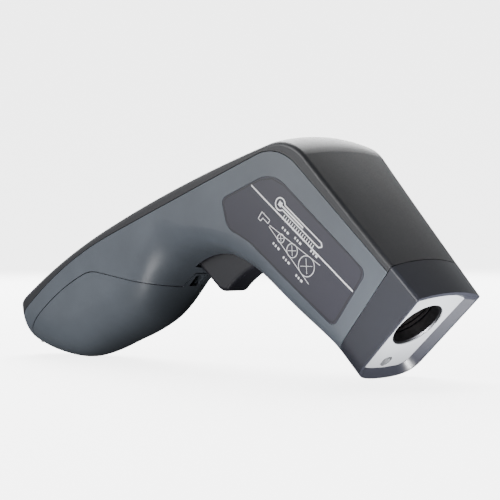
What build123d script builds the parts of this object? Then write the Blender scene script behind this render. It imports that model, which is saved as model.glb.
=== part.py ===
from build123d import *
import math
import os

# Compact pistol-grip infrared thermometer, standing like a tent on its nose and on its battery door.
# Millimetres. +X is the way the barrel heads, +Y the object's left, +Z up, the plane of symmetry is y = 0.
# Outlines of the body are given as (x, z) in the "tent" frame; EXPORT_SHIFT centres the box at the end.

# ---------------------------------------------------------------- driving dimensions
WALL = 2.0                      # shell thickness
GAP = 0.25                      # parting line between fixed covers
DOOR_GAP = 0.3                  # gap round the moving battery door
CLEAR = 0.05                    # radial running clearance of a pin
EXPORT_SHIFT = (2.97, 0, -0.477)    # puts the middle of the box at x = 0 and its lowest point at z = 0
REST_TILT = 0.58                # final turn about Y that sets both the door and the nose on the ground

BARREL_TILT = 46.0              # the barrel points this far below the horizon
NOSE_X, NOSE_Z = 88.8, 25.9     # top ridge of the nose rim, where the barrel frame has its origin
BUTT_X = -96.8                  # end of the handle

BACK_START = (97.5, 20.3)       # crown of the back, in front of the nose
BACK_HEADING = 134.2            # and the way it runs from there
BACK_BARREL = 67.6              # straight crown of the barrel
KNEE_R, KNEE_TURN = 15.8, 61.3  # bend between barrel and handle
HANDLE_R, HANDLE_TURN = 660.0, 7.2
BUTT_R, BUTT_TURN = 300.0, 13.5
NOSE_CROWN_R, CROWN_R = 46.0, 85.0   # the back is crowned across its width, most at the nose

WIDEST_Z = 26.5                 # level at which HALF_WIDTH is given
SIDE_TAPER = 0.0807             # the sides lean outward by this much for each mm of height
HALF_WIDTH = [(-112, 12.7), (-91, 13.6), (-56, 14.7), (-15, 15.6), (25, 15.95), (63, 15.4), (104, 14.4)]
UNDERSIDE = [(-112, 9.0), (-98, 6.0), (-85, 1.8), (-74, 0.0), (-65, 0.0), (-56, 2.2), (-46, 6.0),
             (-36, 9.9), (-27, 15.0), (-21, 21.2), (-15.5, 27.2), (-11, 31.4), (-6, 34.6), (1, 36.7),
             (8, 36.7), (16, 34.6), (26, 30.0), (40, 19.8), (56, 8.4), (62.5, 1.8), (104, -41.5)]
ROUND_HEIGHT = [(-112, 15), (-60, 15), (-35, 18), (-17, 22), (-6, 12), (6, 9), (25, 10), (104, 11)]
ROUND_SIDE = [(-112, 0.60), (-20, 0.60), (5, 0.60), (30, 0.74), (104, 0.74)]
ROUND_BASE = [(-112, 0.60), (-20, 0.58), (5, 0.62), (30, 0.70), (104, 0.70)]
BODY_STEP = 6.0                 # spacing of the body's sections
BUTT_PLAN_R = 34.0              # the end of the handle is crowned in plan
BUTT_EDGE_R = 8.5
RIDGE_R = 1.3

GROOVE_START, GROOVE_HEADING = (94.0, 18.3), 136.06
GROOVE_BARREL, GROOVE_HANDLE, GROOVE_END = 66.67, 73.6, 30.0
GROOVE_KNEE_R, GROOVE_KNEE_TURN = 15.2, 63.4
GROOVE_BUTT_R, GROOVE_BUTT_TURN = 184.0, 17.7
SEAM_START, SEAM_HEADING, SEAM_LENGTH, SEAM_END = (-12.0, 25.2), 172.05, 35.5, 12.0
SEAM_ARCS = [(16.4, 29.5), (109.3, 19.15), (7.3, 49.3)]
DOOR_TAB_TOP, DOOR_TAB_HALF, DOOR_TAB_FOOT = 30.3, 2.9, 4.4
DOOR_SLOT_HALF, DOOR_SLOT_LOW, DOOR_SLOT_HIGH = 1.9, 26.2, 29.8
DOOR_PIVOT = (-87.9, 4.9)
DOOR_PIN_R, DOOR_KNUCKLE_R = 0.9, 1.9
DOOR_PIN_HALF = 6.2

BEZEL_TOP, BEZEL_BOTTOM = -12.6, -9.0      # seam of the nose bezel, measured along the barrel
NOSE_TOP_HALF, NOSE_BOTTOM_HALF, NOSE_HEIGHT = 14.8, 13.1, 36.2
NOSE_CROWN, NOSE_BOTTOM_CROWN = 2.0, 1.0
RIM, COVE, RECESS = 0.9, 2.0, 2.1
APERTURE_Z, APERTURE_R = -14.2, 8.0
LASER_Z, LASER_R = -30.4, 2.05

TRIGGER_PIVOT = (17.0, 40.5)
TRIGGER_HALF, TRIGGER_SLOT = 4.75, 5.35
TRIGGER_PIN_R = 1.25
PLUNGER_X = TRIGGER_PIVOT[0] - 7.6

GRIP_ORIGIN, GRIP_SLOPE = (0.0, 60.2), 19.4   # back of the handle under the display
CELL_R, CELL_LENGTH = 5.25, 44.5
CELL_MIDDLE, CELL_SLOPE = (-46.0, 23.4), 28.0

# case screws: x and z of the axis, and the y of the seat under the head
SCREW_POSTS = [(53.8, 44.6, 13.2), (37.9, 28.2, 12.0), (-16.5, 40.0, 12.8), (-87.9, 13.3, 8.2)]
POST_R, SCREW_R, HEAD_R, HEAD_HEIGHT = 2.6, 1.0, 2.0, 1.4

LENS_FRONT, LENS_R = -14.6, 7.35
BOARD_LEFT, BOARD_RIGHT, BOARD_HALF, BOARD_TOP, BOARD_THICK = -16.0, 29.0, 13.0, -6.0, 1.5
BOARD_HOLES = [(x, y) for x in (BOARD_LEFT + 2.6, BOARD_RIGHT - 2.6) for y in (10.4, -10.4)]
WINDOW_X0, WINDOW_X1, WINDOW_HALF = -1.0, 18.0, 13.0
SWITCH_X, SWITCH_Y, SWITCH_TOP = -78.0, 5.0, 13.4


# ---------------------------------------------------------------- frames and small helpers
def on_barrel(shape):
    """Barrel frame: x along the barrel towards the nose, z square to it, origin at the nose ridge."""
    return Pos(NOSE_X, 0, NOSE_Z) * Rot(0, BARREL_TILT, 0) * shape


def on_grip(shape):
    """Grip frame: x up the handle's back towards the knee, z out of the back."""
    return Pos(GRIP_ORIGIN[0], 0, GRIP_ORIGIN[1]) * Rot(0, -GRIP_SLOPE, 0) * shape


def on_cells(shape):
    """Cell frame: x along the cells towards the trigger, z towards the back, origin mid-way."""
    return Pos(CELL_MIDDLE[0], 0, CELL_MIDDLE[1]) * Rot(0, -CELL_SLOPE, 0) * shape


def block(x0, x1, y0, y1, z0, z1):
    """A box between two corners."""
    return Pos((x0 + x1) / 2, (y0 + y1) / 2, (z0 + z1) / 2) * Box(abs(x1 - x0), abs(y1 - y0), abs(z1 - z0))


def rod_y(x, z, r, y0, y1):
    """A cylinder along Y."""
    return Pos(x, (y0 + y1) / 2, z) * Rot(90, 0, 0) * Cylinder(r, abs(y1 - y0))


def rod_x(x0, x1, r, y=0.0, z=0.0):
    """A cylinder along X."""
    return Pos((x0 + x1) / 2, y, z) * Rot(0, 90, 0) * Cylinder(r, abs(x1 - x0))


def rod_z(x, y, r, z0, z1):
    """A cylinder along Z."""
    return Pos(x, y, (z0 + z1) / 2) * Cylinder(r, abs(z1 - z0))


def side_prism(face, y0, y1):
    """A face drawn in (x, z), extruded across the object."""
    return Pos(0, y1, 0) * extrude(Plane.XZ * face, y1 - y0)


def poly(*points):
    """A closed face through (x, z) points."""
    return make_face(Polyline(*points, close=True))


def through(points, x):
    """A smooth curve through a few points, read at x."""
    last = len(points) - 1

    def slope(i):
        a, b = points[max(i - 1, 0)], points[min(i + 1, last)]
        return (b[1] - a[1]) / (b[0] - a[0])

    i = 0
    while i < last - 1 and x > points[i + 1][0]:
        i += 1
    (xa, za), (xb, zb) = points[i], points[i + 1]
    span = xb - xa
    t = (x - xa) / span
    return ((1 + 2 * t) * (1 - t) ** 2 * za + t * (1 - t) ** 2 * span * slope(i)
            + t * t * (3 - 2 * t) * zb + t * t * (t - 1) * span * slope(i + 1))


# ---------------------------------------------------------------- the body's outer and inner skins
def body_section(x, inset):
    """U-shaped section of the body across X, set in from the outer skin."""
    high = 84.0
    slope = (through(UNDERSIDE, x + 1) - through(UNDERSIDE, x - 1)) / 2
    base = through(UNDERSIDE, x) + inset * math.hypot(1, slope)
    height = through(ROUND_HEIGHT, x) - 0.5 * inset

    def half(z):
        return through(HALF_WIDTH, x) + SIDE_TAPER * (z - WIDEST_Z) - inset

    start = base + height
    knee = start - through(ROUND_SIDE, x) * height
    flat = through(ROUND_BASE, x) * half(base)
    left = Bezier((x, half(start), start), (x, half(knee), knee), (x, flat, base), (x, 0, base))
    right = Bezier((x, 0, base), (x, -flat, base), (x, -half(knee), knee), (x, -half(start), start))
    up = Line((x, -half(start), start), (x, -half(high), high))
    over = Line((x, -half(high), high), (x, half(high), high))
    down = Line((x, half(high), high), (x, half(start), start))
    return Wire([left, right, up, over, down])


def trough(inset):
    """Sides and underside of the body, with the rounded end of the handle."""
    count = round((100 + 106) / BODY_STEP)
    stations = [-106 + BODY_STEP * i for i in range(count + 1)]
    hull = Solid.make_loft([body_section(x, inset) for x in stations])
    end = BUTT_X + inset
    r = BUTT_PLAN_R - inset
    plan = Pos(end + r, 0, 40) * Cylinder(r, 120) + block(end + r / 3, 120, -30, 30, -60, 100)
    hull = (hull & plan).solid()
    loop = [e for e in hull.edges() if e.center().X < BUTT_X + 9 and e.center().Z < 80 and e.length > 1]
    return hull.fillet(BUTT_EDGE_R - 0.6 * inset, loop)


def back_edges(inset):
    """Crown of the back from nose to butt, moved inward by inset."""
    heading = math.radians(BACK_HEADING)
    start = (BACK_START[0] - inset * math.sin(heading), BACK_START[1] + inset * math.cos(heading))
    barrel = PolarLine(start, BACK_BARREL, BACK_HEADING)
    knee = JernArc(barrel @ 1, barrel % 1, KNEE_R - inset, KNEE_TURN)
    handle = JernArc(knee @ 1, knee % 1, HANDLE_R - inset, HANDLE_TURN)
    butt = JernArc(handle @ 1, handle % 1, BUTT_R - inset, BUTT_TURN)
    return barrel, knee, handle, butt


def back_face(path, t, crown_r):
    """Section of the space outside the back: a block whose lower edge is the crown."""
    half, high = 36.0, 70.0
    across = Plane(origin=path @ t, x_dir=(0, -1, 0), z_dir=path % t)
    drop = crown_r - math.sqrt(crown_r * crown_r - half * half)
    arc = ThreePointArc((-half, -drop), (0, 0), (half, -drop))
    lid = Polyline((half, -drop), (half, high), (-half, high), (-half, -drop))
    return make_face(across * (Curve() + [arc, lid]))


def above_back(inset):
    """Everything outside the crowned back."""
    barrel, knee, handle, butt = [Plane.XZ * edge for edge in back_edges(inset)]
    nose_block = loft([back_face(barrel, 0, NOSE_CROWN_R - inset), back_face(barrel, 1, CROWN_R - inset)],
                      ruled=True)
    return nose_block + sweep(back_face(knee, 0, CROWN_R - inset), Curve() + [knee, handle, butt])


def skin(inset):
    """The whole body as one solid, set in from its outer surface."""
    solid = trough(inset) - above_back(inset)
    solid = solid & on_barrel(block(-260, 0, -40, 40, -200, 60))
    return solid.solids().sort_by(SortBy.VOLUME)[-1]


def round_ridges(body):
    """Rounds the two long ridges where the crowned back meets the sides."""
    ridges = []
    for edge in body.edges().filter_by(GeomType.BSPLINE):
        c = edge.center()
        butt_blend = c.X > -93 and c.Z < 18.5
        if edge.length < 90 and c.X < 85 and c.Z > 16.5 and not butt_blend:
            ridges.append(edge)
    return body.fillet(RIDGE_R, ridges)


OUTER = round_ridges(skin(0))
INNER = skin(WALL)
FULL_SHELL = OUTER - INNER


# ---------------------------------------------------------------- parting zones
def spine_zone(drop):
    """Everything above the groove that parts the spine cover from the side shells."""
    barrel = PolarLine(GROOVE_START, GROOVE_BARREL, GROOVE_HEADING)
    knee = JernArc(barrel @ 1, barrel % 1, GROOVE_KNEE_R, GROOVE_KNEE_TURN)
    handle = Line(knee @ 1, knee @ 1 + GROOVE_HANDLE * (knee % 1))
    butt = JernArc(handle @ 1, handle % 1, GROOVE_BUTT_R, GROOVE_BUTT_TURN)
    end = Line(butt @ 1, butt @ 1 + GROOVE_END * (butt % 1))
    closing = Polyline(end @ 1, (-140, 20), (-140, 140), (160, 140), (160, 18), GROOVE_START)
    face = make_face(Curve() + [barrel, knee, handle, butt, end, closing])
    return Pos(0, 0, -drop) * side_prism(face, -40, 40)


def door_zone(grow):
    """The space below the door's seam, with the tab at the front of the handle."""
    lead = PolarLine(SEAM_START, SEAM_LENGTH, SEAM_HEADING)
    edges = [lead]
    for r, turn in SEAM_ARCS:
        edges.append(JernArc(edges[-1] @ 1, edges[-1] % 1, r, turn))
    end = Line(edges[-1] @ 1, edges[-1] @ 1 + SEAM_END * (edges[-1] % 1))
    corner = end @ 1
    closing = Polyline(corner, (corner.X, -20), (4, -20), (4, SEAM_START[1]), SEAM_START)
    below = side_prism(make_face(Curve() + edges + [end, closing]), -40, 40)
    low, high = SEAM_START[1] - 1, DOOR_TAB_TOP + grow
    foot, top = DOOR_TAB_FOOT + grow, DOOR_TAB_HALF + grow
    tab = make_face(Polyline((-foot, low), (foot, low), (top, high), (-top, high), close=True))
    return Pos(-grow * 0.7, 0, grow) * below + Pos(-21, 0, 0) * extrude(Plane.YZ * tab, 14)


def bezel_zone(shift):
    """The space in front of the bezel's slanted seam, in the barrel frame."""
    top, bottom = BEZEL_TOP + shift, BEZEL_BOTTOM + shift
    lean = (BEZEL_BOTTOM - BEZEL_TOP) / 38.0
    face = poly((top - 30 * lean, 30), (bottom + 20 * lean, -58), (60, -58), (60, 30))
    return on_barrel(side_prism(face, -40, 40))


def post(index, r, y0, y1):
    """A cylinder across the body on the axis of one of the case screws."""
    x, z = SCREW_POSTS[index][:2]
    return rod_y(x, z, r, y0, y1)


def inside(shape, inset=WALL - 0.6):
    """Trims inner ribs and posts to the body, a little way into its walls."""
    return shape & skin(inset)


def label_outline(grow):
    """Outline of the side label."""
    face = make_face(Curve() + [
        Line((31.0, 60.6), (16.4, 55.3)), ThreePointArc((16.4, 55.3), (15.2, 54.4), (14.8, 52.9)),
        Line((14.8, 52.9), (15.8, 48.0)), ThreePointArc((15.8, 48.0), (17.3, 45.4), (20.2, 43.8)),
        ThreePointArc((20.2, 43.8), (23.6, 42.4), (26.4, 40.6)), Line((26.4, 40.6), (55.4, 18.2)),
        ThreePointArc((55.4, 18.2), (57.6, 17.6), (59.0, 18.6)),
        Line((59.0, 18.6), (68.9, 30.9)), ThreePointArc((68.9, 30.9), (69.6, 33.0), (68.5, 34.9)),
        Line((68.5, 34.9), (40.8, 58.9)), ThreePointArc((40.8, 58.9), (36.0, 61.0), (31.0, 60.6))])
    return offset(face, grow) if grow else face


# ---------------------------------------------------------------- case
def side_shell(left):
    """One half of the case, with its screw posts and the bosses of the trigger pin."""
    y0, y1 = (0.08, 40) if left else (-40, -0.08)
    shell = FULL_SHELL & block(-140, 140, y0, y1, -40, 120)
    shell -= spine_zone(GAP)
    shell -= door_zone(DOOR_GAP)
    shell -= bezel_zone(-GAP)
    ribs = Part()
    for i, (x, z, seat) in enumerate(SCREW_POSTS):
        if left:
            ribs += post(i, POST_R, 0.15, seat) + post(i, HEAD_R + 1.1, seat - 1.0, 20)
        else:
            ribs += post(i, POST_R, -20, -0.15)
    px, pz = TRIGGER_PIVOT
    edge = TRIGGER_HALF + 0.5
    ribs += rod_y(px, pz, 3.0, edge, 20) if left else rod_y(px, pz, 3.0, -20, -edge)
    shell += inside(ribs)
    shell -= rod_y(*DOOR_PIVOT, DOOR_KNUCKLE_R + 0.7, -9, 9)
    for i, (x, z, seat) in enumerate(SCREW_POSTS):
        if left:
            shell -= post(i, SCREW_R + 0.25, -1, seat + 1) + post(i, HEAD_R + 0.15, seat, 40)
        else:
            shell -= post(i, SCREW_R + 0.02, -9, 1)
    shell -= rod_y(px, pz, TRIGGER_PIN_R + 0.02, -11, 11)
    slot = poly((-12.8, 34.8), (-4.5, 28.2), (8, 20), (19.5, 30), (19.5, 47), (-12.8, 47))
    shell -= side_prism(slot, -TRIGGER_SLOT, TRIGGER_SLOT)
    pocket = side_prism(label_outline(0.12), 0, 40) if left else side_prism(label_outline(0.12), -40, 0)
    shell -= pocket - skin(0.35)
    return shell.solids().sort_by(SortBy.VOLUME)[-1]


def side_label(left):
    """Thin printed plate in its pocket on the side of the case."""
    prism = side_prism(label_outline(0), 0, 40) if left else side_prism(label_outline(0), -40, 0)
    return ((OUTER & prism) - skin(0.32)).solids().sort_by(SortBy.VOLUME)[-1]


def window_prism(grow, low, high):
    """Rounded prism of the display window, in the grip frame."""
    plan = Pos((WINDOW_X0 + WINDOW_X1) / 2, 0) * RectangleRounded(
        WINDOW_X1 - WINDOW_X0 + 2 * grow, 2 * (WINDOW_HALF + grow), 2.0 + grow)
    return on_grip(Pos(0, 0, low) * extrude(plan, high - low))


def spine_cover():
    """Dark channel-shaped cover over the whole back."""
    cover = (OUTER - skin(2.2)) & spine_zone(0)
    cover -= bezel_zone(-GAP)
    cover -= window_prism(-1.2, -8, 8)
    cover -= window_prism(0.1, -8, 8) - skin(1.3)
    return cover.solids().sort_by(SortBy.VOLUME)[-1]


def lcd_window():
    """Clear pane flush with the back."""
    pane = (OUTER - skin(1.2)) & window_prism(0, -8, 8)
    return pane.solids().sort_by(SortBy.VOLUME)[-1]


def nose_outline(inset):
    """Front view of the nose, crowned above and below, drawn in (y, z)."""
    top, bottom = NOSE_TOP_HALF - inset, NOSE_BOTTOM_HALF - inset
    high, low = -inset, -NOSE_HEIGHT + NOSE_BOTTOM_CROWN + inset
    face = make_face(Curve() + [
        ThreePointArc((-top, high), (0, high + NOSE_CROWN), (top, high)), Line((top, high), (bottom, low)),
        ThreePointArc((bottom, low), (0, low - NOSE_BOTTOM_CROWN), (-bottom, low)),
        Line((-bottom, low), (-top, high))])
    lower = face.vertices().sort_by(Axis.Y)[:2]
    face = fillet(lower, 6.5 - 0.8 * inset)
    return fillet(face.vertices().sort_by(Axis.Y)[-2:], 0.8)


def nose_prism(inset, x0, x1):
    """The nose outline extruded along the barrel."""
    return Pos(x0, 0, 0) * extrude(Plane.YZ * nose_outline(inset), x1 - x0)


def nose_bezel():
    """Hollow cap of the nose: a thin rim, a cove down to the front plate and a pocket behind it."""
    ring = OUTER & bezel_zone(0)
    mouth = loft([Pos(0.01, 0, 0) * (Plane.YZ * nose_outline(RIM)),
                  Pos(-RECESS, 0, 0) * (Plane.YZ * nose_outline(RIM + COVE))], ruled=True)
    hole = nose_prism(RIM + COVE, -5, -RECESS + 0.01)
    pocket = nose_prism(2.1, -30, -RECESS - 1.6)
    ring -= on_barrel(mouth + hole + pocket)
    return ring.solids().sort_by(SortBy.VOLUME)[-1]


def front_plate():
    """Plate behind the cove, flanged at the back, with the sensor and laser openings."""
    face = nose_prism(RIM + COVE + 0.08, -RECESS - 2, -RECESS - 0.05)
    flange = nose_prism(2.3, -RECESS - 3.1, -RECESS - 1.63)
    plate = face + flange
    plate -= rod_x(-12, 2, APERTURE_R + 0.6, 0, APERTURE_Z)
    plate -= rod_x(-12, 2, LASER_R, 0, LASER_Z)
    return on_barrel(plate)


# ---------------------------------------------------------------- optics, in the barrel frame
def optics_tube():
    """Sleeve behind the aperture with its anti-reflection grooves and the lens seat."""
    back = -RECESS - 3.15
    tube = rod_x(-28, back, 9.4, 0, APERTURE_Z)
    tube += rod_x(back - 1, -RECESS - 0.3, APERTURE_R + 0.5, 0, APERTURE_Z)
    tube -= Pos(-RECESS - 0.5, 0, APERTURE_Z) * Rot(0, 90, 0) * Cone(APERTURE_R, APERTURE_R + 0.4, 0.4)
    tube -= rod_x(-12, 0, APERTURE_R, 0, APERTURE_Z)
    for i in range(4):
        tube -= rod_x(-6.6 - 1.3 * i, -6.0 - 1.3 * i, APERTURE_R + 0.45, 0, APERTURE_Z)
    tube -= rod_x(-17.2, -11, LENS_R + 0.05, 0, APERTURE_Z)
    tube -= rod_x(-40, -11, 6.5, 0, APERTURE_Z)
    return on_barrel(tube)


def lens_ring():
    """Ring that holds the lens against its seat."""
    ring = rod_x(LENS_FRONT + 0.05, LENS_FRONT + 1.5, LENS_R, 0, APERTURE_Z)
    ring -= rod_x(-20, 0, 6.2, 0, APERTURE_Z)
    notch = block(-20, 0, -0.6, 0.6, -LENS_R - 1, LENS_R + 1)
    return on_barrel(ring - Pos(LENS_FRONT + 1.0 + 20, 0, APERTURE_Z) * notch)


def ir_lens():
    """Plano-convex infrared lens, domed towards the front."""
    dome_r, centre = 17.0, LENS_FRONT - 0.6 + 1.66 - 17.0
    blank = rod_x(-17.2, LENS_FRONT + 3, LENS_R, 0, APERTURE_Z)
    dome = Pos(centre, 0, APERTURE_Z) * Sphere(dome_r)
    rim = rod_x(-17.2, LENS_FRONT, LENS_R, 0, APERTURE_Z)
    return on_barrel(rim + (blank & dome & rod_x(-17.2, 0, 6.1, 0, APERTURE_Z)))


def sensor_holder():
    """Plug in the tube's tail that carries the thermopile."""
    plug = rod_x(-28.5, -24.5, 6.45, 0, APERTURE_Z) + rod_x(-30.4, -28.03, 9.4, 0, APERTURE_Z)
    return on_barrel(plug - rod_x(-40, -20, 4.3, 0, APERTURE_Z) - rod_x(-40, -29.4, 4.65, 0, APERTURE_Z))


def thermopile_sensor():
    """Metal can with a window and four leads."""
    can = rod_x(-29.45, -25.6, 4.2, 0, APERTURE_Z) + rod_x(-30.4, -29.45, 4.55, 0, APERTURE_Z)
    can -= rod_x(-25.9, -20, 1.5, 0, APERTURE_Z)
    for y, z in [(-1.8, -1.8), (1.8, -1.8), (-1.8, 1.8), (1.8, 1.8)]:
        can += rod_x(-34.0, -30.2, 0.25, y, APERTURE_Z + z)
    return on_barrel(can)


def sensor_board():
    """Small circuit board behind the sensor."""
    board = block(-33.2, -32.0, -9.5, 9.5, APERTURE_Z - 9.0, APERTURE_Z + 9.0)
    for y, z in [(-1.8, -1.8), (1.8, -1.8), (-1.8, 1.8), (1.8, 1.8)]:
        board -= rod_x(-36, -30, 0.35, y, APERTURE_Z + z)
    return on_barrel(board)


def laser_module():
    """Brass barrel of the aiming laser, open at the front."""
    body = rod_x(-20.0, -RECESS - 3.2, 2.5, 0, LASER_Z)
    return on_barrel(body - rod_x(-9.0, 0, 1.6, 0, LASER_Z))


def laser_board():
    """Driver board soldered to the laser's tail."""
    return on_barrel(block(-21.4, -20.2, -3.4, 3.4, LASER_Z - 2.8, LASER_Z + 2.8))


def laser_window():
    """Small clear disc in the lower opening of the front plate."""
    return on_barrel(rod_x(-4.4, -3.6, LASER_R - 0.03, 0, LASER_Z))


# ---------------------------------------------------------------- trigger
def trigger():
    """Finger lever on a pin above its front face."""
    px, pz = TRIGGER_PIVOT
    outline = make_face(Curve() + [
        Line((-9.4, 33.3), (-0.8, 26.4)), ThreePointArc((-0.8, 26.4), (1.6, 25.2), (4.3, 25.6)),
        ThreePointArc((4.3, 25.6), (10.2, 30.2), (17.0, 33.4)),
        Polyline((17.0, 33.4), (18.7, 34.8), (18.7, 37.4), (px, 40.5), (px, 43.9), (10.5, 43.9)),
        ThreePointArc((10.5, 43.9), (0.5, 40.6), (-8.4, 36.4)), Line((-8.4, 36.4), (-9.4, 33.3))])
    lever = side_prism(outline, -TRIGGER_HALF, TRIGGER_HALF)
    front = [e for e in lever.edges() if e.center().X > 1 and e.center().Z < 31.5 and abs(e.center().Y) > 4]
    lever = lever.solid().fillet(1.3, front) + rod_y(px, pz, 3.8, -TRIGGER_HALF, TRIGGER_HALF)
    lever += block(-3.2, 1.4, -2.4, 2.4, 37.5, 41.0)
    return lever - rod_y(px, pz, TRIGGER_PIN_R + CLEAR, -9, 9)


def trigger_pin():
    """Steel pin of the trigger, held in the two shells."""
    px, pz = TRIGGER_PIVOT
    return rod_y(px, pz, TRIGGER_PIN_R, -10.8, 10.8)


def coil(r, wire_r, length, turns):
    """A compression spring along +Z from the origin."""
    path = Helix(length / turns, length, r)
    section = Plane(origin=path @ 0, z_dir=path % 0) * Circle(wire_r)
    return sweep(section, path, is_frenet=True)


def trigger_spring():
    """Return spring between the lever and its post."""
    return Pos(-1.0, 0, 41.3) * coil(1.7, 0.25, 5.3, 5)


def spring_post():
    """Bar across the case, against the switch, with the upper seat of the spring."""
    bar = block(-3.6, 1.3, -16, 16, 46.95, 48.3) & skin(WALL + 0.05)
    return bar + block(0.1, 1.3, -3.1, 3.1, 46.95, 51.6) + rod_z(-1.0, 0, 1.1, 45.6, 47.5)


def trigger_switch():
    """Sealed snap-action switch above the lever."""
    body = block(1.4, 14.2, -3.1, 3.1, 45.9, 51.8)
    hole = rod_z(PLUNGER_X, 0, 0.95, 44, 50.2)
    return body - hole


def switch_plunger():
    """Button of the switch, pushed up by the lever."""
    return rod_z(PLUNGER_X, 0, 0.85, 44.3, 48.6)


# ---------------------------------------------------------------- battery compartment
def battery_door():
    """Bulging front of the handle, hinged at the butt, with its tab and slot."""
    door = (OUTER - skin(WALL)) & door_zone(0)
    door -= block(-24, -4, -DOOR_SLOT_HALF, DOOR_SLOT_HALF, DOOR_SLOT_LOW, DOOR_SLOT_HIGH)
    px, pz = DOOR_PIVOT
    lug_gap = rod_y(px, pz, DOOR_KNUCKLE_R + 0.4, -3.6, 3.6) + block(px - 3, px, -3.6, 3.6, -5, pz)
    door = door.solids().sort_by(SortBy.VOLUME)[-1] - lug_gap
    for side in (-1, 1):
        y0, y1 = sorted((3.7 * side, DOOR_PIN_HALF * side))
        arm = rod_y(px, pz, DOOR_KNUCKLE_R, y0, y1) + block(px, px + 3.0, y0, y1, 0, pz + 1.2)
        door += arm & OUTER
    return door - rod_y(px, pz, DOOR_PIN_R + CLEAR, -20, 20)


def door_hinge_pin():
    """Steel pin through the knuckles of the door."""
    px, pz = DOOR_PIVOT
    return rod_y(px, pz, DOOR_PIN_R, -DOOR_PIN_HALF, DOOR_PIN_HALF)


def cell_pair():
    """Two cells side by side, facing opposite ways."""
    pair = Part()
    for side in (-1, 1):
        can = rod_x(-CELL_LENGTH / 2, CELL_LENGTH / 2 - 1.0, CELL_R)
        tip = rod_x(CELL_LENGTH / 2 - 1.1, CELL_LENGTH / 2, 1.9)
        pair += Pos(0, side * 5.6, 0) * (Rot(0, 0, 0 if side > 0 else 180) * (can + tip))
    return on_cells(pair)


def contact_springs():
    """Coil contact at the flat end of each cell."""
    springs = Part()
    for side in (-1, 1):
        turn = Rot(0, 0, 0 if side > 0 else 180)
        wire = Pos(-25.9, 0, 0) * Rot(0, 90, 0) * coil(2.6, 0.35, 3.1, 3)
        springs += Pos(0, side * 5.6, 0) * (turn * wire)
    return on_cells(springs)


def contact_plates():
    """Flat contact at the button end of each cell."""
    plates = Part()
    for side in (-1, 1):
        turn = Rot(0, 0, 0 if side > 0 else 180)
        plate = block(22.35, 22.8, -3.8, 3.8, -3.8, 3.8)
        plates += Pos(0, side * 5.6, 0) * (turn * plate)
    return on_cells(plates)


def battery_tray():
    """Tray over the cells, with end walls, the shelf of the two switches and the lug of the hinge."""
    tray = block(-27.8, 27.8, -11.5, 11.5, 5.5, 6.9)
    for side in (-1, 1):
        tray += block(side * 26.6, side * 27.8, -11.5, 11.5, -4.2, 5.6)
        tray += block(22.85 * side, 26.7 * side, side * 2.2, side * 9.0, -3.6, 5.6)
        tray += block(-24, 24, side * 11.05, side * 11.9, 1.5, 5.6)
    tray = on_cells(tray)
    tray += block(-84.5, -70, -9.6, 9.6, SWITCH_TOP + 0.05, SWITCH_TOP + 1.3)
    px, pz = DOOR_PIVOT
    plate_z = SWITCH_TOP + 0.6
    arm = poly((px - 1.8, pz), (px + 1.8, pz - 0.4), (-82.2, 10.0), (-79, plate_z), (-83.6, plate_z))
    tray += side_prism(arm, -2.9, 2.9) + rod_y(px, pz, 1.8, -3.2, 3.2)
    tray = tray & skin(WALL + 0.35)
    tray -= rod_y(px, pz, DOOR_PIN_R + 0.02, -20, 20)
    return tray.solids().sort_by(SortBy.VOLUME)[-1]


def switch_body(side):
    """Housing of a small slide switch under the shelf."""
    body = block(SWITCH_X - 4.2, SWITCH_X + 4.2, -1.8, 1.8, SWITCH_TOP - 3.4, SWITCH_TOP)
    slot = block(SWITCH_X - 2.2, SWITCH_X + 2.2, -0.75, 0.75, SWITCH_TOP - 4, SWITCH_TOP - 2.2)
    return Pos(0, side * SWITCH_Y, 0) * (body - slot)


def switch_knob(side):
    """Sliding knob, at rest at the butt end of its slot."""
    x0 = SWITCH_X - 1.95
    knob = block(x0, x0 + 1.9, -0.6, 0.6, SWITCH_TOP - 4.7, SWITCH_TOP - 2.35)
    return Pos(0, side * SWITCH_Y, 0) * knob


# ---------------------------------------------------------------- display and electronics, grip frame
def lcd_frame():
    """Frame that holds the display under the window."""
    x0, x1 = WINDOW_X0 - 2.2, WINDOW_X1 + 2.2
    frame = block(x0, x1, -WINDOW_HALF + 0.2, WINDOW_HALF - 0.2, -5.9, -2.0)
    frame -= block(x0 + 1.2, x1 - 1.2, -WINDOW_HALF + 1.4, WINDOW_HALF - 1.4, -7, -2.7)
    return on_grip(frame - block(x0 + 2.6, x1 - 2.6, -WINDOW_HALF + 2.8, WINDOW_HALF - 2.8, -7, 0))


def lcd_module():
    """Liquid-crystal glass."""
    x0, x1 = WINDOW_X0 - 0.8, WINDOW_X1 + 0.8
    return on_grip(block(x0, x1, -WINDOW_HALF + 1.6, WINDOW_HALF - 1.6, -4.6, -2.75))


def contact_strips():
    """Rubber strips that join the display to the board."""
    strips = Part()
    for x in (WINDOW_X0 + 0.4, WINDOW_X1 - 2.0):
        strips += block(x, x + 1.6, -WINDOW_HALF + 2.6, WINDOW_HALF - 2.6, -5.98, -4.62)
    return on_grip(strips)


def main_board():
    """Circuit board under the display."""
    low = BOARD_TOP - BOARD_THICK
    board = block(BOARD_LEFT, BOARD_RIGHT, -BOARD_HALF, BOARD_HALF, low, BOARD_TOP)
    for x, y in BOARD_HOLES:
        board -= rod_z(x, y, 0.95, low - 1, BOARD_TOP + 1)
    return on_grip(board)


def board_screws():
    """Four small screws at the corners of the board."""
    screws = Part()
    low = BOARD_TOP - BOARD_THICK
    for x, y in BOARD_HOLES:
        screws += rod_z(x, y, 0.85, low, BOARD_TOP + 2.0) + rod_z(x, y, 1.6, low - 1.1, low - 0.02)
    return on_grip(screws)


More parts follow.
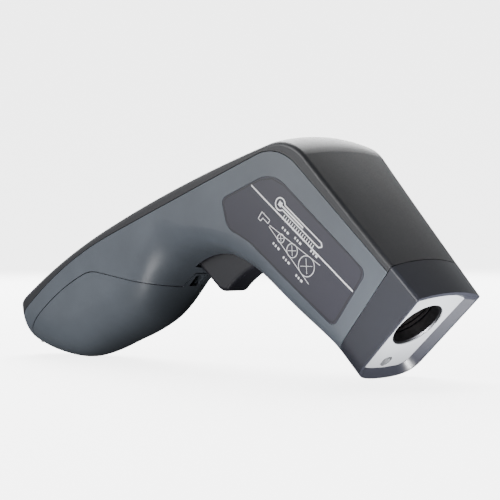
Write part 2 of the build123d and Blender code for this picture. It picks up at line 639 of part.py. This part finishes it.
def board_chips():
    """Controller, amplifier, crystal and capacitor on the underside of the board."""
    low = BOARD_TOP - BOARD_THICK
    chips = block(18.5, 25.5, -6, 6, low - 1.2, low - 0.02)
    chips += block(-12, -7.5, -7.6, -3.6, low - 1.1, low - 0.02)
    chips += block(-12, -9, 3.4, 9.4, low - 1.6, low - 0.02)
    return on_grip(chips)


# ---------------------------------------------------------------- leads
def on_grip_point(x, z):
    """Tent-frame (x, z) of a point of the grip frame."""
    a = math.radians(GRIP_SLOPE)
    c, s = math.cos(a), math.sin(a)
    return (GRIP_ORIGIN[0] + x * c - z * s, GRIP_ORIGIN[1] + x * s + z * c)


def barrel_point(x, z):
    """Tent-frame (x, z) of a point of the barrel frame."""
    a = math.radians(BARREL_TILT)
    return (NOSE_X + x * math.cos(a) + z * math.sin(a), NOSE_Z - x * math.sin(a) + z * math.cos(a))


def lead(y, r, bend, *points):
    """A wire of radius r through (x, z) points at one y, with arcs at its corners."""
    path = FilletPolyline(*[(x, y, z) for x, z in points], radius=bend)
    section = Plane(origin=path @ 0, z_dir=path % 0) * Circle(r)
    return sweep(section, path)


def battery_lead(side):
    """Lead from a cell contact to the lower end of the board."""
    end = on_grip_point(BOARD_LEFT + 4.0, BOARD_TOP + 0.62)
    return lead(side * 6.6, 0.55, 4.0, (-21.0, 37.4), (-21.0, end[1] - 4.2), end)


def laser_leads():
    """Two wires from the laser's board to the top end of the main board."""
    end = on_grip_point(BOARD_RIGHT + 0.5, BOARD_TOP - 0.75)
    run = [barrel_point(-21.6, LASER_Z + 1.6), barrel_point(-43, -27.5), end]
    return lead(5.4, 0.4, 9.0, *run) + lead(6.8, 0.4, 9.0, *run)


def sensor_leads():
    """Three wires from the sensor's board to the top end of the main board."""
    end = on_grip_point(BOARD_RIGHT + 0.5, BOARD_TOP - 0.75)
    run = [barrel_point(-33.4, -20.0), barrel_point(-48, -20.0), end]
    return lead(-4.0, 0.4, 8.0, *run) + lead(-5.4, 0.4, 8.0, *run) + lead(-6.8, 0.4, 8.0, *run)


def case_screws():
    """Four self-tapping screws, entered from the left."""
    screws = Part()
    for i, (x, z, seat) in enumerate(SCREW_POSTS):
        head = post(i, HEAD_R, seat + 0.02, seat + HEAD_HEIGHT)
        cross = block(x - 1.1, x + 1.1, seat + 0.7, seat + 3, z - 0.25, z + 0.25)
        cross += block(x - 0.25, x + 0.25, seat + 0.7, seat + 3, z - 1.1, z + 1.1)
        screws += post(i, SCREW_R, -8.5, seat + 0.1) + (head - cross)
    return screws


# ---------------------------------------------------------------- write every node
NODES = {
    "right_side_shell": lambda: side_shell(False), "left_side_shell": lambda: side_shell(True),
    "spine_cover": spine_cover, "nose_bezel": nose_bezel, "front_plate": front_plate,
    "right_label": lambda: side_label(False), "left_label": lambda: side_label(True),
    "case_screws": case_screws, "optics_tube": optics_tube, "lens_ring": lens_ring, "ir_lens": ir_lens,
    "sensor_holder": sensor_holder, "thermopile_sensor": thermopile_sensor, "sensor_board": sensor_board,
    "laser_module": laser_module, "laser_board": laser_board, "laser_window": laser_window,
    "trigger": trigger, "trigger_pin": trigger_pin, "trigger_spring": trigger_spring,
    "spring_post": spring_post, "trigger_switch": trigger_switch, "switch_plunger": switch_plunger,
    "battery_door": battery_door, "door_hinge_pin": door_hinge_pin, "battery_cells": cell_pair,
    "contact_springs": contact_springs, "contact_plates": contact_plates, "battery_tray": battery_tray,
    "unit_switch": lambda: switch_body(1), "unit_switch_knob": lambda: switch_knob(1),
    "laser_switch": lambda: switch_body(-1), "laser_switch_knob": lambda: switch_knob(-1),
    "lcd_window": lcd_window, "lcd_frame": lcd_frame, "lcd_module": lcd_module,
    "contact_strips": contact_strips, "main_board": main_board, "board_screws": board_screws,
    "board_chips": board_chips, "positive_lead": lambda: battery_lead(1),
    "negative_lead": lambda: battery_lead(-1), "laser_leads": laser_leads, "sensor_leads": sensor_leads,
}

if __name__ == "__main__":
    os.makedirs("parts", exist_ok=True)
    placing = Pos(*EXPORT_SHIFT) * Rot(0, REST_TILT, 0)
    for name, make in NODES.items():
        export_step(placing * make(), f"parts/{name}.step")
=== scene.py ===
import math
import bmesh
import bpy
from mathutils import Euler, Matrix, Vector
from mathutils.bvhtree import BVHTree


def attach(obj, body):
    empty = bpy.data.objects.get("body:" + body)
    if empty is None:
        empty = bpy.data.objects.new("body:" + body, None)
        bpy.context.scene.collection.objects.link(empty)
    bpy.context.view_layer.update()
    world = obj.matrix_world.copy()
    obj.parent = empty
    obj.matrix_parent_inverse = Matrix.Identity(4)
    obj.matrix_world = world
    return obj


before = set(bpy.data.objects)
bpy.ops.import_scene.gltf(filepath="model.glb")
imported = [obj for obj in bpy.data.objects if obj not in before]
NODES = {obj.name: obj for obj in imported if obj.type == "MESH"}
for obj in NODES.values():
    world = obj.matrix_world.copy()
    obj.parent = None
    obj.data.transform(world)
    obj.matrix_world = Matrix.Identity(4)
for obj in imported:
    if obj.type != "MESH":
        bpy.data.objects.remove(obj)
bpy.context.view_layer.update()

# The outlines below are in the CAD's "tent" frame, in mm; TILT and SHIFT are the final placing of part.py.
TILT = math.radians(0.58)
SHIFT = (2.97, -0.477)


def placed(x, z):
    """A tent-frame point (x, z) in mm as (x, z) in metres in the row frame."""
    c, s = math.cos(TILT), math.sin(TILT)
    return (x * c + z * s + SHIFT[0]) / 1000, (-x * s + z * c + SHIFT[1]) / 1000


# ---------------------------------------------------------------- materials
def new_material(name):
    material = bpy.data.materials.new(name)
    material.use_nodes = True
    tree = material.node_tree
    shader = tree.nodes["Principled BSDF"]
    coords = tree.nodes.new("ShaderNodeTexCoord")
    return material, tree, shader, coords.outputs["Object"]


def noise(tree, coords, scale, detail=3.0, rough=0.5, stretch=None):
    node = tree.nodes.new("ShaderNodeTexNoise")
    node.inputs["Scale"].default_value = scale
    node.inputs["Detail"].default_value = detail
    node.inputs["Roughness"].default_value = rough
    if stretch:
        mapping = tree.nodes.new("ShaderNodeMapping")
        mapping.inputs["Scale"].default_value = stretch
        tree.links.new(coords, mapping.inputs["Vector"])
        coords = mapping.outputs["Vector"]
    tree.links.new(coords, node.inputs["Vector"])
    return node.outputs["Fac"]


def remap(tree, value, low, high):
    node = tree.nodes.new("ShaderNodeMapRange")
    for key, number in (("From Min", 0.3), ("From Max", 0.7), ("To Min", low), ("To Max", high)):
        node.inputs[key].default_value = number
    tree.links.new(value, node.inputs["Value"])
    return node.outputs["Result"]


def two_colours(tree, value, dark, light):
    ramp = tree.nodes.new("ShaderNodeValToRGB")
    ramp.color_ramp.elements[0].position = 0.35
    ramp.color_ramp.elements[0].color = (*dark, 1)
    ramp.color_ramp.elements[1].position = 0.65
    ramp.color_ramp.elements[1].color = (*light, 1)
    tree.links.new(value, ramp.inputs["Fac"])
    return ramp.outputs["Color"]


def bump(tree, shader, height, strength, distance):
    node = tree.nodes.new("ShaderNodeBump")
    node.inputs["Strength"].default_value = strength
    node.inputs["Distance"].default_value = distance
    tree.links.new(height, node.inputs["Height"])
    tree.links.new(node.outputs["Normal"], shader.inputs["Normal"])


def plastic(name, colour, rough, grain=2600.0, relief=0.00003, vary=0.10, spec=0.5, spread=0.05):
    """Moulded plastic: fine spark-eroded grain, slight mottling in colour and in gloss."""
    material, tree, shader, coords = new_material(name)
    broad = noise(tree, coords, 42.0, 4.0, 0.55)
    dark = tuple(c * (1 - vary) for c in colour)
    light = tuple(min(1.0, c * (1 + vary)) for c in colour)
    tree.links.new(two_colours(tree, broad, dark, light), shader.inputs["Base Color"])
    fine = noise(tree, coords, grain, 2.0, 0.6)
    tree.links.new(remap(tree, fine, rough - spread, rough + spread), shader.inputs["Roughness"])
    bump(tree, shader, fine, 0.35, relief)
    shader.inputs["Specular IOR Level"].default_value = spec
    return material


def metal(name, colour, rough, stretch=(1, 1, 1), scale=900.0, relief=0.00001):
    """Metal with fine drawn or turned marks."""
    material, tree, shader, coords = new_material(name)
    marks = noise(tree, coords, scale, 3.0, 0.6, stretch)
    dark = tuple(c * 0.86 for c in colour)
    tree.links.new(two_colours(tree, marks, dark, colour), shader.inputs["Base Color"])
    tree.links.new(remap(tree, marks, rough * 0.75, rough * 1.3), shader.inputs["Roughness"])
    bump(tree, shader, marks, 0.3, relief)
    shader.inputs["Metallic"].default_value = 1.0
    return material


def pane(name, colour, rough, alpha, spec=0.6):
    """Tinted clear pane with faint wipe marks."""
    material, tree, shader, coords = new_material(name)
    smear = noise(tree, coords, 120.0, 5.0, 0.6, (1, 0.3, 1))
    tree.links.new(remap(tree, smear, rough, rough + 0.06), shader.inputs["Roughness"])
    dark = tuple(c * 0.9 for c in colour)
    tree.links.new(two_colours(tree, smear, dark, colour), shader.inputs["Base Color"])
    shader.inputs["Alpha"].default_value = alpha
    shader.inputs["Specular IOR Level"].default_value = spec
    return material


def board_material():
    """Lacquered circuit board with faint copper tracks under the green mask."""
    material, tree, shader, coords = new_material("board_green")
    tracks = tree.nodes.new("ShaderNodeTexBrick")
    tracks.inputs["Scale"].default_value = 260.0
    tracks.inputs["Color1"].default_value = (0.015, 0.16, 0.06, 1)
    tracks.inputs["Color2"].default_value = (0.02, 0.22, 0.085, 1)
    tracks.inputs["Mortar"].default_value = (0.05, 0.30, 0.12, 1)
    tree.links.new(coords, tracks.inputs["Vector"])
    tree.links.new(tracks.outputs["Color"], shader.inputs["Base Color"])
    fine = noise(tree, coords, 900.0)
    tree.links.new(remap(tree, fine, 0.28, 0.42), shader.inputs["Roughness"])
    bump(tree, shader, tracks.outputs["Fac"], 0.3, 0.00003)
    return material


SHELL = plastic("shell_blue_grey", (0.088, 0.100, 0.118), 0.36)
DOOR = plastic("door_blue_grey", (0.086, 0.098, 0.115), 0.36)
COVER = plastic("cover_black", (0.022, 0.0225, 0.026), 0.46, grain=1900.0, relief=0.00002, spec=0.45)
CAP = plastic("cap_dark", (0.025, 0.026, 0.034), 0.34, grain=3000.0, relief=0.000008, vary=0.05)
PLATE = plastic("plate_grey", (0.30, 0.31, 0.33), 0.33, grain=2400.0, relief=0.00002, vary=0.06)
FILM = plastic("label_film", (0.032, 0.031, 0.044), 0.38, grain=3200.0, relief=0.00001, vary=0.05)
INK_WHITE = plastic("ink_white", (0.80, 0.80, 0.82), 0.5, relief=0.000006, vary=0.04)
INK_DARK = plastic("ink_dark", (0.020, 0.019, 0.026), 0.4, relief=0.000006, vary=0.05)
TRIGGER = plastic("trigger_plastic", (0.014, 0.014, 0.018), 0.40, grain=1400.0, relief=0.000002,
                  vary=0.05, spec=0.25, spread=0.02)
TUBE = metal("tube_black", (0.055, 0.055, 0.060), 0.42, (1, 1, 1), 1500.0)
STEEL = metal("steel", (0.62, 0.62, 0.63), 0.26, (1, 0.05, 1))
NICKEL = metal("nickel", (0.74, 0.73, 0.70), 0.18)
BRASS = metal("brass", (0.72, 0.52, 0.22), 0.25)
INNER = plastic("inner_black", (0.05, 0.05, 0.055), 0.55)
SWITCH = plastic("switch_black", (0.06, 0.045, 0.04), 0.45)
KNOB = plastic("knob_ivory", (0.62, 0.61, 0.56), 0.40)
CHIP = plastic("chip_black", (0.02, 0.02, 0.022), 0.5, grain=4000.0)
STRIP = plastic("strip_rubber", (0.42, 0.25, 0.28), 0.7)
CELL = plastic("cell_wrap", (0.03, 0.07, 0.13), 0.28, relief=0.00001)
RED = plastic("wire_red", (0.50, 0.02, 0.015), 0.45)
BLACK = plastic("wire_black", (0.02, 0.02, 0.02), 0.45)
GREY = plastic("wire_grey", (0.28, 0.28, 0.29), 0.45)
BOARD = board_material()
LENS = pane("lens_germanium", (0.20, 0.16, 0.13), 0.08, 0.93)
CLEAR = pane("pane_tinted", (0.008, 0.009, 0.011), 0.07, 0.80)
LASER_PANE = pane("pane_laser", (0.008, 0.007, 0.008), 0.10, 0.9, 0.12)
LCD = pane("lcd_grey", (0.36, 0.40, 0.34), 0.16, 1.0)

FINISH = {
    "right_side_shell": SHELL, "left_side_shell": SHELL, "battery_door": DOOR, "spine_cover": COVER,
    "nose_bezel": CAP, "front_plate": PLATE, "right_label": FILM, "left_label": FILM, "trigger": TRIGGER,
    "optics_tube": TUBE, "lens_ring": TUBE, "ir_lens": LENS, "lcd_window": CLEAR, "laser_window": LASER_PANE,
    "lcd_module": LCD, "trigger_pin": STEEL, "door_hinge_pin": STEEL, "case_screws": STEEL,
    "board_screws": STEEL, "trigger_spring": NICKEL, "contact_springs": NICKEL, "contact_plates": NICKEL,
    "thermopile_sensor": NICKEL, "laser_module": BRASS, "sensor_holder": INNER, "lcd_frame": INNER,
    "battery_tray": INNER, "spring_post": INNER, "trigger_switch": SWITCH, "unit_switch": SWITCH,
    "laser_switch": SWITCH, "unit_switch_knob": KNOB, "laser_switch_knob": KNOB, "switch_plunger": KNOB,
    "main_board": BOARD, "sensor_board": BOARD, "laser_board": BOARD, "board_chips": CHIP,
    "contact_strips": STRIP, "battery_cells": CELL, "positive_lead": RED, "negative_lead": BLACK,
    "laser_leads": GREY, "sensor_leads": GREY,
}
for name, material in FINISH.items():
    for material_slot in NODES[name].material_slots:
        material_slot.material = material


# ---------------------------------------------------------------- printed graphics on the labels
INK_DEPTH = 0.04 / 1000     # the ribbons of ink reach this far into the film


def tree_of(node):
    mesh = NODES[node].data
    points = [v.co.copy() for v in mesh.vertices]
    return BVHTree.FromPolygons(points, [tuple(p.vertices) for p in mesh.polygons])


def stroke(points, width, closed=False):
    """The left and right edge, in (x, z), of a line of that width through the points."""
    dense = []
    ring = points + points[:1] if closed else points
    for (xa, za), (xb, zb) in zip(ring, ring[1:]):
        steps = max(1, math.ceil(math.hypot(xb - xa, zb - za) / 0.9))
        dense += [(xa + (xb - xa) * i / steps, za + (zb - za) * i / steps) for i in range(steps)]
    if not closed:
        dense.append(points[-1])
    rows = []
    count = len(dense)
    for i in range(count):
        before = dense[i - 1] if closed or i else dense[i]
        after = dense[(i + 1) % count] if closed or i < count - 1 else dense[i]
        dx, dz = after[0] - before[0], after[1] - before[1]
        size = math.hypot(dx, dz) or 1.0
        nx, nz = -dz / size * width / 2, dx / size * width / 2
        rows.append(((dense[i][0] + nx, dense[i][1] + nz), (dense[i][0] - nx, dense[i][1] - nz)))
    return rows


def print_on(name, node, side, strokes, material, rise=0.035):
    """Ink lines that lie on a label: each is a thin ribbon with its edges sunk into the film."""
    surface = tree_of(node)
    build = bmesh.new()
    for points, width, closed in strokes:
        sections = []
        for row in stroke(points, width, closed):
            section = []
            for x, z in row:
                px, pz = placed(x, z)
                hit = surface.ray_cast(Vector((px, side * 0.06, pz)), Vector((0, -side, 0)))[0]
                if hit is None:
                    break
                section.append(build.verts.new(hit + Vector((0, side * rise / 1000, 0))))
                section.append(build.verts.new(hit - Vector((0, side * INK_DEPTH, 0))))
            if len(section) == 4:
                sections.append(section)
        pairs = list(zip(sections, sections[1:]))
        if closed and len(sections) > 2:
            pairs.append((sections[-1], sections[0]))
        for (a0, a1, b0, b1), (c0, c1, d0, d1) in pairs:
            build.faces.new((a0, b0, d0, c0))
            build.faces.new((a1, a0, c0, c1))
            build.faces.new((b0, b1, d1, d0))
            build.faces.new((b1, a1, c1, d1))
        if sections and not closed:
            for a0, a1, b0, b1 in (sections[0], sections[-1]):
                build.faces.new((a0, a1, b1, b0))
    bmesh.ops.recalc_face_normals(build, faces=build.faces)
    mesh = bpy.data.meshes.new(name)
    build.to_mesh(mesh)
    build.free()
    piece = bpy.data.objects.new(name, mesh)
    bpy.context.collection.objects.link(piece)
    mesh.materials.append(material)
    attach(piece, "case")
    return piece


def circle(cx, cz, r, count=40):
    return [(cx + r * math.cos(2 * math.pi * i / count), cz + r * math.sin(2 * math.pi * i / count))
            for i in range(count)]


def along(origin, direction, u, v):
    """A point u along and v to the left of a direction."""
    dx, dz = direction
    return origin[0] + dx * u - dz * v, origin[1] + dz * u + dx * v


RULE = ((27.6, 58.6), (65.4, 27.4))
RULE_LENGTH = math.dist(*RULE)
RULE_DIR = ((RULE[1][0] - RULE[0][0]) / RULE_LENGTH, (RULE[1][1] - RULE[0][1]) / RULE_LENGTH)


def label_strokes():
    """The white print: rule, thermometer symbol, and the measuring cone with its spots, as strokes in mm."""
    white = [(list(RULE), 0.5, False)]
    # a plain thermometer symbol with a graduated scale, above the rule
    start = (37.6, 54.0)
    bulb = [along(start, RULE_DIR, 1.9 + 1.9 * math.cos(a), 1.9 * math.sin(a))
            for a in [math.radians(28 + 304 * i / 30) for i in range(31)]]
    stem = [bulb[0], along(start, RULE_DIR, 21.0, 0.9), along(start, RULE_DIR, 21.9, 0.0),
            along(start, RULE_DIR, 21.0, -0.9), bulb[-1]]
    white += [(bulb, 0.42, False), (stem, 0.42, False)]
    white.append(([along(start, RULE_DIR, 1.2, 0.0), along(start, RULE_DIR, 2.6, 0.0)], 1.5, False))
    white.append(([along(start, RULE_DIR, 2.2, 0.0), along(start, RULE_DIR, 13.0, 0.0)], 0.55, False))
    for i in range(15):
        tick = 1.7 if i % 5 == 0 else 1.0
        u = 5.2 + i
        ends = [along(start, RULE_DIR, u, -1.5), along(start, RULE_DIR, u, -1.5 - tick)]
        white.append((ends, 0.26, False))
    # the measuring cone: instrument, rays and growing spots
    apex, axis = (34.0, 46.4), (0.762, -0.648)
    gun = [along(apex, axis, u, v)
           for u, v in ((-4.6, -1.1), (-4.6, 1.5), (-0.6, 1.5), (-0.6, 0.2), (-3.2, 0.2), (-3.4, -1.1))]
    white.append((gun, 0.24, True))
    for side in (-1, 1):
        ray = [along(apex, axis, 0.2, 0.25 * side), along(apex, axis, 22.4, 3.7 * side)]
        white.append((ray, 0.2, False))
    for u, r in ((6.0, 1.35), (11.6, 2.1), (18.6, 3.1)):
        cx, cz = along(apex, axis, u, 0)
        white.append((circle(cx, cz, r), 0.22, True))
        white.append(([(cx - 0.75 * r, cz), (cx + 0.75 * r, cz)], 0.14, False))
        white.append(([(cx, cz - 0.75 * r), (cx, cz + 0.75 * r)], 0.14, False))
        for side in (-1, 1):
            for k, length in enumerate((0.7, 0.7, 1.1)):
                u0 = u - 1.6 + 1.15 * k
                v0 = side * (r + 1.75)
                dash = [along(apex, axis, u0, v0), along(apex, axis, u0 + length * 0.8, v0)]
                white.append((dash, 0.75, False))
    return white


def outline_stroke():
    """The dark border, just inside the label's outline."""
    corners = [(31.0, 60.6), (16.4, 55.3), (15.2, 54.4), (14.8, 52.9), (15.8, 48.0), (17.3, 45.4),
               (20.2, 43.8), (23.6, 42.4), (26.4, 40.6), (55.4, 18.2), (57.6, 17.6), (59.0, 18.6),
               (68.9, 30.9), (69.6, 33.0), (68.5, 34.9), (40.8, 58.9), (36.0, 61.0)]
    cx, cz, inset = 42.0, 40.5, 0.55
    inner = []
    for x, z in corners:
        away = math.hypot(cx - x, cz - z)
        inner.append((x + (cx - x) * inset / away, z + (cz - z) * inset / away))
    return [(inner, 0.5, True)]


for label, side in (("right_label", -1), ("left_label", 1)):
    print_on(label + "_white_print", label, side, label_strokes(), INK_WHITE)
    print_on(label + "_dark_border", label, side, outline_stroke(), INK_DARK, 0.02)


# ---------------------------------------------------------------- floor, light and camera
PAPER_GLOW = 4.0            # whitens the paper; only the camera sees it, so it doesn't light the object
PAPER_NEAR, PAPER_FLAT, PAPER_BEND = -3.0, 5.2, 1.6      # its front edge, level length and curve, in m
CAMERA_PLACE = (0.367217, -0.369652, 0.04243)
CAMERA_TURN = (89.4952, 0.1872, 43.798)


def stage_material():
    material, tree, shader, coords = new_material("paper_floor")
    broad = noise(tree, coords, 3.0, 2.0)
    tint = two_colours(tree, broad, (0.93, 0.93, 0.93), (0.96, 0.96, 0.96))
    tree.links.new(tint, shader.inputs["Base Color"])
    shader.inputs["Roughness"].default_value = 0.7
    shader.inputs["Specular IOR Level"].default_value = 0.2
    shader.inputs["Emission Color"].default_value = (1.0, 1.0, 1.0, 1)
    shader.inputs["Emission Strength"].default_value = PAPER_GLOW
    material.cycles.emission_sampling = "NONE"
    return material


floor_mesh = bpy.data.meshes.new("paper")
floor_build = bmesh.new()
rings = []
for row in range(0, 33):
    t = row / 32
    y = PAPER_NEAR + PAPER_FLAT * min(1.0, t / 0.6)
    z = 0.0
    if t > 0.6:
        a = (t - 0.6) / 0.4 * math.pi / 2
        y = PAPER_NEAR + PAPER_FLAT + PAPER_BEND * math.sin(a)
        z = PAPER_BEND * (1 - math.cos(a))
    rings.append([floor_build.verts.new((x, y, z)) for x in (-4.0, -2.0, 0.0, 2.0, 4.0)])
for low, high in zip(rings, rings[1:]):
    for i in range(4):
        floor_build.faces.new((low[i], low[i + 1], high[i + 1], high[i]))
for face in floor_build.faces:
    face.smooth = True
floor_build.to_mesh(floor_mesh)
floor_build.free()
paper = bpy.data.objects.new("paper", floor_mesh)
paper.rotation_euler = Euler((0, 0, math.radians(43.8)))    # square to the camera
bpy.context.collection.objects.link(paper)
floor_mesh.materials.append(stage_material())
paper.visible_diffuse = False
paper.visible_glossy = False
paper.visible_shadow = False


def area(name, place, target, size, power, spread=180.0):
    lamp = bpy.data.lights.new(name, "AREA")
    lamp.shape = "RECTANGLE"
    lamp.size, lamp.size_y = size
    lamp.energy = power
    lamp.spread = math.radians(spread)
    light = bpy.data.objects.new(name, lamp)
    light.location = place
    light.rotation_euler = (Vector(target) - Vector(place)).to_track_quat("-Z", "Y").to_euler()
    light.visible_camera = False
    bpy.context.collection.objects.link(light)


area("top_softbox", (-0.62, 0.55, 0.80), (0, 0, 0.05), (1.1, 1.1), 40.0)
area("side_softbox", (-0.42, -0.92, 0.28), (0, 0, 0.05), (0.5, 0.5), 9.8)
area("nose_light", (0.165, -0.035, -0.055), (0.086, 0, 0.020), (0.04, 0.04), 0.062, 36.0)
area("table_bounce", (-0.03, -0.22, -0.10), (-0.04, 0, 0.03), (0.08, 0.08), 0.04, 60.0)

# The studio is bright above the horizon and dark below it, and brighter behind the handle than past the nose.
# The light that the table throws back comes from the two small lamps under the nose and the handle.
world = bpy.data.worlds.new("studio")
bpy.context.scene.world = world
world.use_nodes = True
sky = world.node_tree
heading = sky.nodes.new("ShaderNodeTexCoord")
split = sky.nodes.new("ShaderNodeSeparateXYZ")
sky.links.new(heading.outputs["Generated"], split.inputs["Vector"])
fade = sky.nodes.new("ShaderNodeMapRange")
fade.interpolation_type = "SMOOTHSTEP"
for key, number in (("From Min", -0.25), ("From Max", 0.35), ("To Min", 0.03), ("To Max", 0.95)):
    fade.inputs[key].default_value = number
sky.links.new(split.outputs["Z"], fade.inputs["Value"])
flank = sky.nodes.new("ShaderNodeMapRange")
flank.interpolation_type = "SMOOTHSTEP"
for key, number in (("From Min", -0.7), ("From Max", 0.15), ("To Min", 1.0), ("To Max", 0.22)):
    flank.inputs[key].default_value = number
sky.links.new(split.outputs["X"], flank.inputs["Value"])
product = sky.nodes.new("ShaderNodeMath")
product.operation = "MULTIPLY"
sky.links.new(fade.outputs["Result"], product.inputs[0])
sky.links.new(flank.outputs["Result"], product.inputs[1])
sky.links.new(product.outputs["Value"], sky.nodes["Background"].inputs["Strength"])
sky.nodes["Background"].inputs["Color"].default_value = (0.95, 0.98, 1.0, 1)

lens = bpy.data.cameras.new("camera")
lens.sensor_width = 36.0
lens.lens = 115.2
lens.clip_start = 0.02
camera = bpy.data.objects.new("camera", lens)
camera.location = CAMERA_PLACE
camera.rotation_euler = Euler([math.radians(a) for a in CAMERA_TURN])
bpy.context.collection.objects.link(camera)
bpy.context.scene.camera = camera
